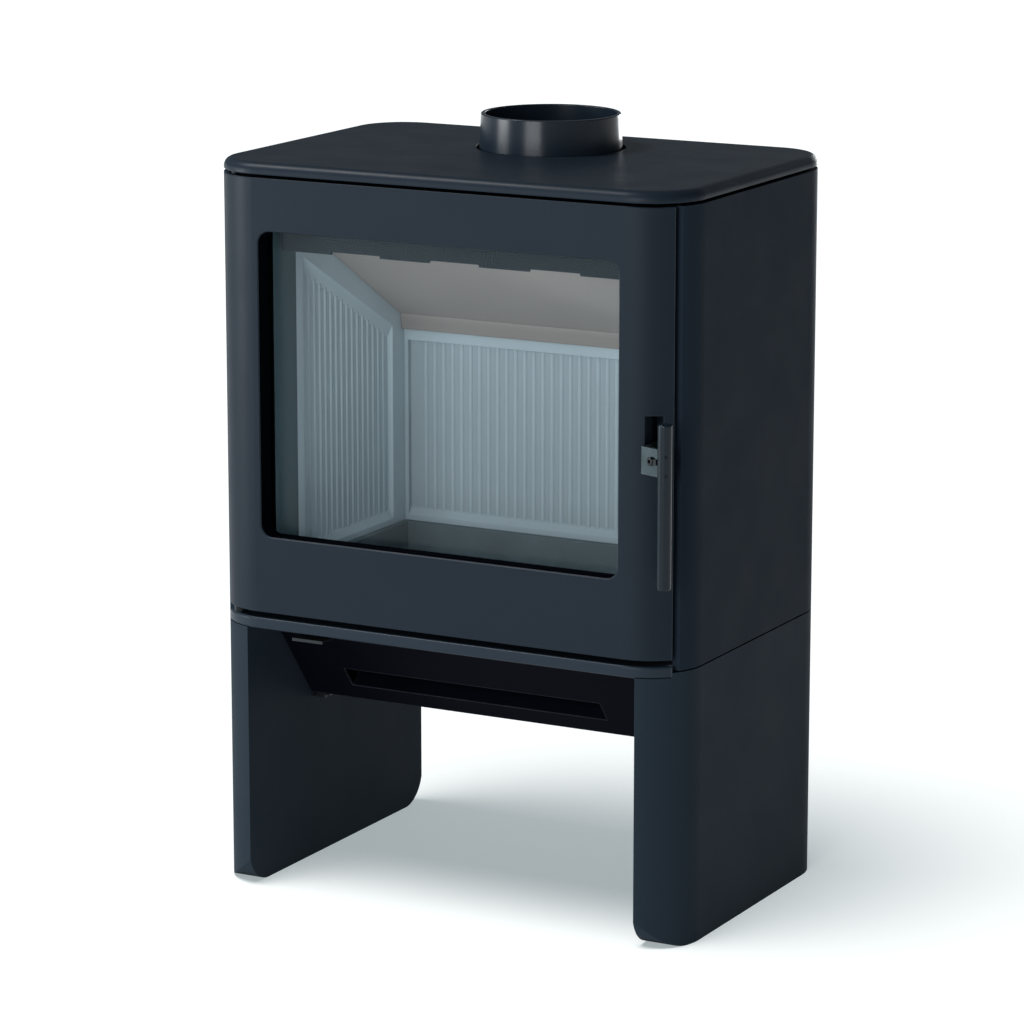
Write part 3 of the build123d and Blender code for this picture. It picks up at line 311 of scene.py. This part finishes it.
def bare_iron(name, colour):
    """Sand-cast iron with no paint: coarse skin, dark grey with a little brown in places."""
    s = Shader(name)
    skin = s.noise(0.0016, detail=4.0, rough=0.65)
    clouds = s.noise(0.05, detail=5.0, rough=0.6)
    base = s.blend(s.span(clouds, 0.3, 0.7), shade(colour, 0.8), shade(colour, 1.15))
    base = s.blend(s.span(s.noise(0.02, detail=4.0), 0.6, 0.85, 0.0, 0.12), base, RUST_BROWN)
    # Edges made lighter: partly wear, partly a painted highlight.
    base = s.blend(s.maths("MULTIPLY", s.edges(0.001), 0.4), base, shade(colour, 1.8))
    normal = s.bump(s.cells(0.004, "SMOOTH_F1"), SKIN_DEPTH, strength=0.4)
    normal = s.bump(skin, SKIN_DEPTH, normal, 0.6)
    dull = s.span(skin, 0.3, 0.7, 0.6, 0.75)
    return s.principled(base, dull, normal, Metallic=0.1, Specular_IOR_Level=0.2)


def fibre(name, colour, pitch):
    """Woven glass fibre: two crossing sets of threads, closer for a smaller pitch."""
    s = Shader(name)
    warp = s.add("ShaderNodeTexWave", bands_direction="DIAGONAL")
    weft = s.add("ShaderNodeTexWave", bands_direction="DIAGONAL")
    s.feed(warp.inputs["Vector"], s.place)
    s.feed(weft.inputs["Vector"], s.scaled((-1.0, 1.0, 1.0)))
    for wave in (warp, weft):
        wave.inputs["Scale"].default_value = WEAVE_SCALE / pitch
        wave.inputs["Distortion"].default_value = 0.6
    threads = s.maths("MULTIPLY", warp.outputs["Fac"], weft.outputs["Fac"])
    fuzz = s.noise(0.0009, detail=3.0, rough=0.7)
    # Painted shade: darker between the threads.
    base = s.blend(s.span(threads, 0.0, 0.6), shade(colour, 0.5), shade(colour, 1.2))
    base = s.blend(s.span(fuzz, 0.4, 0.8, 0.0, 0.4), base, shade(colour, 1.7))
    normal = s.bump(threads, THREAD_DEPTH, strength=0.7)
    normal = s.bump(fuzz, FUZZ_DEPTH, normal, 0.5)
    return s.principled(base, 0.85, normal, Sheen_Weight=0.25)


def stove_glass(name):
    """Clear ceramic glass: it lets the studio light in, and mirrors more at a glancing angle."""
    s = Shader(name)
    clear = s.add("ShaderNodeBsdfTransparent")
    s.tone(clear.inputs["Color"], GLASS_TINT)
    mirror = s.add("ShaderNodeBsdfGlossy")
    s.tone(mirror.inputs["Color"], GLASS_MIRROR)
    haze = s.span(s.noise(0.06, detail=4.0), 0.35, 0.75, 0.02, 0.07)
    s.feed(mirror.inputs["Roughness"], haze)
    fresnel = s.add("ShaderNodeFresnel")
    fresnel.inputs["IOR"].default_value = GLASS_INDEX
    mix = s.add("ShaderNodeMixShader")
    s.feed(mix.inputs["Fac"], fresnel.outputs["Fac"])
    s.tree.links.new(clear.outputs["BSDF"], mix.inputs[1])
    s.tree.links.new(mirror.outputs["BSDF"], mix.inputs[2])
    s.tree.links.new(mix.outputs["Shader"], s.output.inputs["Surface"])
    return s.material


ANTHRACITE = (0.0095, 0.0150, 0.0222)
BLUISH = (0.0092, 0.0152, 0.0238)
# Painted shade: the near-black of the window's reveal.
REVEAL_SHADE = (0.0012, 0.0016, 0.0026)
# Painted light: a lighter copy of the blue paint, for the legs.
LEG_LIT_BLUE = (0.014, 0.0215, 0.03)
# Painted shade: the near-black of the parts under the stove, with a lighter edge colour that is partly wear
# and partly a painted highlight.
UNDER_SHADE = (0.0018, 0.0022, 0.0042)
UNDER_EDGE = (0.03, 0.034, 0.045)
SLEEVE_GREY = (0.1, 0.15, 0.168)
DEFLECTOR_GREY = (0.022, 0.031, 0.037)
ROD_BLUE = (0.0045, 0.0098, 0.0155)
# The colour that paint edges are lightened towards: partly wear, partly a painted highlight.
PAINT_EDGE = (0.05, 0.068, 0.08)
BOARD = (0.53, 0.6, 0.64)
# Painted light: the side liners have a lighter copy of the rear liner's board, and a lighter ground between
# their ribs.
SIDE_BOARD_LIT = (0.64, 0.725, 0.77)
SIDE_GROUND_LIT = 1.04
BAFFLE_BUFF = (0.48, 0.42, 0.395)
BAFFLE_FLECK = (0.58, 0.5, 0.42)
BAFFLE_FLAKE = 0.0036
# Painted shade: the share of the colour left at the baffle's foot.
BAFFLE_FOOT_SHADE = 0.66
HEARTH_GREY = (0.142, 0.182, 0.197)
ARM_GREY = (0.03, 0.042, 0.048)
ZINC = (0.42, 0.42, 0.42)
OILED_BLACK = (0.012, 0.014, 0.016)
LEVER_GREY = (0.03, 0.034, 0.038)
SHELL_GREY = (0.09, 0.095, 0.105)
HEAT_BLUE = (0.05, 0.06, 0.1)
PAN_GREY = (0.02, 0.023, 0.027)
TAPE_GREY = (0.05, 0.055, 0.055)
ROPE_GREY = (0.045, 0.045, 0.048)

# A liner's border stands proud. Its ribs rise from a ground that lies a recess behind the border.
RECESS = 0.006
REAR_RIB = 0.0018
SIDE_RIB = 0.0013
rear_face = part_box("liner_rear")[0].y
left_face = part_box("liner_left")[1].x
right_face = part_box("liner_right")[0].x
rear_ground = rear_face + RECESS
left_ground = left_face - RECESS
right_ground = right_face + RECESS

# The baffle's foot is darker, a painted shade. It begins this far in front of the rear liner, over a short
# blend.
FOOT_START = 0.01
FOOT_FULL = 0.008

# The reveal of the door's window and the sleeve of the front frame: the faces inside these boxes. The
# reveal is near-black, a painted shade.
REVEAL_FRONT = 0.0013
REVEAL_BACK = 0.0005
REVEAL_SIDE = 0.004
REVEAL_END = 0.006
SLEEVE_MARGIN = 0.001
window_low, window_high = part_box("door_glass")
door_low, door_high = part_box("door_frame")
frame_low, frame_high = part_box("front_frame")
deflector_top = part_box("air_wash_deflector")[1].z
REVEAL = (
    (window_low.x + REVEAL_SIDE, door_low.y + REVEAL_FRONT, window_low.z + REVEAL_END),
    (window_high.x - REVEAL_SIDE, door_high.y - REVEAL_BACK, window_high.z - REVEAL_END),
)
SLEEVE = (
    (left_face - SLEEVE_MARGIN, frame_low.y + SLEEVE_MARGIN, frame_low.z),
    (right_face + SLEEVE_MARGIN, frame_high.y + SLEEVE_MARGIN, deflector_top + SLEEVE_MARGIN),
)

MATERIALS = {made.name: made for made in (
    stove_paint(
        "door_paint", ANTHRACITE, roughness=0.42, casting=0.2, wear_and_highlight=0.6, edge_wear_and_highlight=PAINT_EDGE,
        edge=0.0014,
    ),
    # Painted shade: the window's reveal is near-black.
    stove_paint("reveal_shade_paint", REVEAL_SHADE, roughness=0.6, wear_and_highlight=0.0, gloss=0.0),
    # Painted shade: the top plate has a darker copy of the blue paint, so it looks no lighter than the
    # front.
    stove_paint("cast_shaded_paint", shade(BLUISH, 0.9), roughness=0.4, casting=0.12, gloss=0.1),
    # Painted light: the lip has a lighter copy of the door's paint, and strongly lightened edges for
    # highlights.
    stove_paint(
        "lip_lit_paint", shade(ANTHRACITE, 1.35), roughness=0.34, casting=0.15, wear_and_highlight=0.9, gloss=0.12,
        edge_wear_and_highlight=PAINT_EDGE, edge=0.002,
    ),
    stove_paint(
        "sheet_paint", BLUISH, roughness=0.6, grain=0.28, casting=0.06, gloss=0.04, edge=0.0016,
    ),
    # Painted light: the legs have a lighter copy of the blue paint.
    stove_paint("leg_lit_paint", LEG_LIT_BLUE, roughness=0.6, gloss=0.035),
    stove_paint(
        "collar_paint", BLUISH, roughness=0.22, grain=0.1, casting=0.0, wear_and_highlight=0.1, gloss=0.2,
    ),
    # Painted shade: the parts under the stove are near-black.
    stove_paint(
        "under_shade_paint", UNDER_SHADE, roughness=0.5, grain=0.2, casting=0.05, wear_and_highlight=0.9, gloss=0.015,
        edge_wear_and_highlight=UNDER_EDGE, edge=0.0022,
    ),
    stove_paint("frame_paint", shade(ANTHRACITE, 0.8), roughness=0.5, grain=0.2, gloss=0.04),
    stove_paint("sleeve_paint", SLEEVE_GREY, roughness=0.5, grain=0.15, wear_and_highlight=0.1),
    stove_paint("deflector_paint", DEFLECTOR_GREY, roughness=0.5, grain=0.15, wear_and_highlight=0.8),
    stove_paint("rod_paint", ROD_BLUE, roughness=0.22, grain=0.1, casting=0.0, gloss=0.2),
    # The ground between the ribs gets painted shade on the rear liner and painted light on the side liners;
    # the baffle's foot gets painted shade.
    fire_board("rear_board", BOARD, "Y", rear_ground - REAR_RIB, rear_ground),
    fire_board("left_board", SIDE_BOARD_LIT, "X", left_ground + SIDE_RIB, left_ground, SIDE_GROUND_LIT),
    fire_board("right_board", SIDE_BOARD_LIT, "X", right_ground - SIDE_RIB, right_ground, SIDE_GROUND_LIT),
    fire_board(
        "baffle_board", BAFFLE_BUFF, "Y", rear_face - FOOT_START, rear_face - FOOT_FULL, BAFFLE_FOOT_SHADE,
        BAFFLE_FLECK, BAFFLE_FLAKE,
    ),
    bare_iron("hearth_iron", HEARTH_GREY),
    steel("arm_steel", ARM_GREY, roughness=0.45, along=ALONG_Z),
    steel("plated_steel", ZINC, roughness=0.32),
    steel("black_steel", OILED_BLACK, roughness=0.36),
    steel("lever_steel", LEVER_GREY, roughness=0.4, along=ALONG_X),
    steel("shell_steel", SHELL_GREY, roughness=0.5, tint=HEAT_BLUE),
    steel("pan_steel", PAN_GREY, roughness=0.45, along=ALONG_X),
    fibre("tape_fibre", TAPE_GREY, pitch=0.0012),
    fibre("rope_fibre", ROPE_GREY, pitch=0.0011),
    stove_glass("stove_glass"),
)}

FINISH = {
    "door_paint": ["door_frame"],
    "cast_shaded_paint": ["top_plate"],
    "lip_lit_paint": ["base_plate"],
    "sheet_paint": ["side_panel_left", "side_panel_right", "back_panel"],
    "leg_lit_paint": ["leg_left", "leg_right"],
    "collar_paint": ["flue_collar"],
    "under_shade_paint": ["ash_drawer_front", "air_slide_guides", "ash_chute"],
    "frame_paint": ["front_frame"],
    "deflector_paint": ["air_wash_deflector"],
    "rod_paint": ["handle_rod"],
    "rear_board": ["liner_rear"],
    "left_board": ["liner_left"],
    "right_board": ["liner_right"],
    "baffle_board": ["baffle"],
    "hearth_iron": ["hearth_tray", "grate"],
    "arm_steel": ["latch_arm"],
    "plated_steel": [
        "leg_bolts", "collar_bolts", "clip_screws", "bracket_screws", "runner_bolts",
        "latch_pivot", "striker_pin", "glass_clips", "panel_spacers", "top_spacers",
    ],
    "black_steel": [
        "arm_bolt", "handle_screws", "back_screws", "hinge_pin_top", "hinge_pin_bottom",
        "hinge_washer", "latch_bracket",
    ],
    "lever_steel": ["air_lever"],
    "shell_steel": ["firebox_shell"],
    "pan_steel": ["ash_pan", "drawer_runner_left", "drawer_runner_right"],
    "tape_fibre": ["glass_tape"],
    "rope_fibre": ["door_seal"],
    "stove_glass": ["door_glass"],
}


def finish_node(name, material):
    """Gives a CAD node its material."""
    piece = nodes[name]
    piece.data.materials.clear()
    piece.data.materials.append(material)
    for face in piece.data.polygons:
        face.use_smooth = True
        face.material_index = 0


def finish_inside(name, material, low, high):
    """Gives another material to a finished node's faces whose middle lies between two corners."""
    piece = nodes[name]
    piece.data.materials.append(material)
    for face in piece.data.polygons:
        if all(least < middle < most for least, middle, most in zip(low, face.center, high)):
            face.material_index = 1


for finish, names in FINISH.items():
    for name in names:
        finish_node(name, MATERIALS[finish])
finish_inside("door_frame", MATERIALS["reveal_shade_paint"], *REVEAL)
finish_inside("front_frame", MATERIALS["sleeve_paint"], *SLEEVE)


# ---- Door rope ----

# The twist and the step are in metres. The fill is a share of the CAD seal's half depth, and gives
# the rope's radius. The bend and the lobes are shares of that radius.
ROPE_STRANDS = 4
ROPE_TWIST = 0.024
ROPE_STEP = 0.003
ROPE_SIDES = 20
ROPE_FILL = 0.97
ROPE_BEND = 2.8
ROPE_LOBE = 0.16


def rounded_loop(half_width, half_height, radius, step):
    """Evenly spaced places along a rounded rectangle about the origin.

    Each is x, z, the heading there in radians and the way gone so far.
    """
    run_x = 2 * (half_width - radius)
    run_z = 2 * (half_height - radius)
    turn = radius * math.pi / 2
    total = 2 * run_x + 2 * run_z + 4 * turn
    count = round(total / step)
    for index in range(count):
        left = total * index / count
        heading = 0.0
        x, z = radius - half_width, half_height
        for run in (run_x, run_z, run_x, run_z):
            gone = min(left, run)
            x += gone * math.cos(heading)
            z += gone * math.sin(heading)
            left -= gone
            if left <= 0:
                break
            swept = min(left, turn) / radius
            x += radius * (math.sin(heading) - math.sin(heading - swept))
            z += radius * (math.cos(heading - swept) - math.cos(heading))
            heading -= swept
            left -= swept * radius
        yield x, z, heading, total * index / count


def door_rope():
    """The seal round the back of the door, as a rope of twisted strands."""
    low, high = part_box("door_seal")
    rope_radius = (high.y - low.y) / 2 * ROPE_FILL
    centre = (low + high) / 2
    half_width = (high.x - low.x) / 2 - rope_radius
    half_height = (high.z - low.z) / 2 - rope_radius
    turn_radius = rope_radius * ROPE_BEND
    mesh = bmesh.new()
    rings = []
    loop = list(rounded_loop(half_width, half_height, turn_radius, ROPE_STEP))
    length = loop[-1][3] + ROPE_STEP
    twists = round(length / ROPE_TWIST)
    for x, z, heading, gone in loop:
        twist = 2 * math.pi * twists * gone / length
        across = Vector((-math.sin(heading), 0, math.cos(heading)))
        ring = []
        for side in range(ROPE_SIDES):
            angle = 2 * math.pi * side / ROPE_SIDES
            lobe = abs(math.cos(ROPE_STRANDS * (angle - twist / ROPE_STRANDS) / 2))
            radius = rope_radius * (1 - ROPE_LOBE + ROPE_LOBE * lobe)
            offset = across * radius * math.cos(angle) + Vector((0, radius * math.sin(angle), 0))
            ring.append(mesh.verts.new(centre + Vector((x, 0, z)) + offset))
        rings.append(ring)
    for index, ring in enumerate(rings):
        after = rings[(index + 1) % len(rings)]
        for side in range(ROPE_SIDES):
            other = (side + 1) % ROPE_SIDES
            mesh.faces.new((ring[side], ring[other], after[other], after[side]))
    bmesh.ops.recalc_face_normals(mesh, faces=mesh.faces)
    data = bpy.data.meshes.new("door_rope")
    mesh.to_mesh(data)
    mesh.free()
    data.shade_smooth()
    piece = bpy.data.objects.new("door_rope", data)
    scene.collection.objects.link(piece)
    data.materials.append(MATERIALS["rope_fibre"])
    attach(piece, "door")
    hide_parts("door_seal")


door_rope()


# ---- Studio ----

# Lengths and places are in metres, the camera's turn and dip in degrees, and its lens and sensor in
# millimetres.
FLOOR_SIZE = 60.0
FLOOR_WHITE = (0.72, 0.71, 0.70)
FLOOR_GLOW = (0.86, 0.97, 1.0)
FLOOR_LIGHT = 0.4
FLOOR_MOTTLE = 0.01
SKY_LIGHT = 0.17
SKY_BLUE = (0.86, 0.94, 1.0)
WARM_WHITE = (1.0, 0.995, 0.985)
PLAIN_WHITE = (1.0, 1.0, 1.0)
COOL_WHITE = (0.97, 0.99, 1.0)
SIDE_WHITE = (0.95, 0.99, 1.0)
BACK_WHITE = (0.95, 0.98, 1.0)
CAMERA_PLACE = (2.0743, -3.8707, 1.3618)
CAMERA_TURN = 28.2555
CAMERA_DIP = 12.4592
CAMERA_LENS = 151.84
CAMERA_SENSOR = 36.0
CAMERA_REACH = 200.0


def studio_floor():
    """A wide pale floor that runs out of the picture."""
    bpy.ops.mesh.primitive_plane_add(size=FLOOR_SIZE, location=(0, 0, 0))
    floor = bpy.context.object
    floor.name = "studio_floor"
    s = Shader("floor_white")
    mottle = s.noise(0.3, detail=3.0)
    darker = shade(FLOOR_WHITE, 1 - FLOOR_MOTTLE)
    lighter = shade(FLOOR_WHITE, 1 + FLOOR_MOTTLE)
    floor.data.materials.append(s.principled(
        s.blend(s.span(mottle, 0.3, 0.7), darker, lighter), s.span(mottle, 0.3, 0.7, 0.75, 0.85),
        Specular_IOR_Level=0.1, Emission_Color=(*FLOOR_GLOW, 1.0), Emission_Strength=FLOOR_LIGHT,
    ))
    floor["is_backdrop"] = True
    return floor


def share_light(lamp, ground, on_ground):
    """Lets a lamp light only the ground, or everything but the ground. Shadows stay as they are."""
    group = bpy.data.collections.new(lamp.name + "_share")
    group.objects.link(ground)
    group.collection_objects[0].light_linking.link_state = "INCLUDE" if on_ground else "EXCLUDE"
    lamp.light_linking.receiver_collection = group


def sun_light(name, towards, power, spread, colour):
    """A soft far light that shines from a direction, spread over an angle in degrees."""
    data = bpy.data.lights.new(name, "SUN")
    data.energy = power
    data.angle = math.radians(spread)
    data.color = colour
    lamp = bpy.data.objects.new(name, data)
    lamp.rotation_euler = Vector(towards).to_track_quat("Z", "Y").to_euler()
    scene.collection.objects.link(lamp)
    return lamp


def area_light(name, place, aim, size, power, colour):
    """A soft square light at a place, turned to face a point. Its size is in metres, its power in watts."""
    data = bpy.data.lights.new(name, "AREA")
    data.shape = "SQUARE"
    data.size = size
    data.energy = power
    data.color = colour
    lamp = bpy.data.objects.new(name, data)
    lamp.location = place
    lamp.rotation_euler = (Vector(aim) - Vector(place)).to_track_quat("-Z", "Y").to_euler()
    scene.collection.objects.link(lamp)
    return lamp


def studio_camera():
    """A long lens in front of the stove's right corner, a little above it."""
    data = bpy.data.cameras.new("camera")
    data.lens = CAMERA_LENS
    data.sensor_width = CAMERA_SENSOR
    data.clip_end = CAMERA_REACH
    camera = bpy.data.objects.new("camera", data)
    camera.location = CAMERA_PLACE
    camera.rotation_euler = (math.radians(90 - CAMERA_DIP), 0, math.radians(CAMERA_TURN))
    scene.collection.objects.link(camera)
    scene.camera = camera


def studio_sky():
    """An even, slightly blue white all round."""
    world = bpy.data.worlds.new("studio_sky")
    world.use_nodes = True
    sky = world.node_tree.nodes["Background"]
    sky.inputs["Color"].default_value = (*SKY_BLUE, 1.0)
    sky.inputs["Strength"].default_value = SKY_LIGHT
    scene.world = world


def studio_lights(floor):
    """A high sun for the floor alone, and four boxes for the stove alone."""
    overhead = sun_light("overhead", (-0.17, -0.27, 1.0), power=2.9, spread=34, colour=WARM_WHITE)
    share_light(overhead, floor, on_ground=True)
    for box in (
        area_light("front_box", (-0.1, -3.4, 1.15), (0, 0, 0.45), size=1.6, power=68.0, colour=COOL_WHITE),
        area_light("left_box", (-1.9, -1.25, 0.6), (0, 0, 0.5), size=0.8, power=32.0, colour=SIDE_WHITE),
        area_light("back_box", (-0.2, 3.6, 0.75), (0, 0, 0.45), size=1.2, power=40.0, colour=BACK_WHITE),
        area_light("top_box", (-1.7, -0.85, 3.2), (0, 0, 0.6), size=0.9, power=85.0, colour=PLAIN_WHITE),
    ):
        share_light(box, floor, on_ground=False)


studio_lights(studio_floor())
studio_sky()
studio_camera()
scene.view_settings.view_transform = "Standard"
scene.view_settings.look = "None"

boxes = {"cad": cad_box, "visual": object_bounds()}
{key: [list(corner) for corner in box] for key, box in boxes.items()}
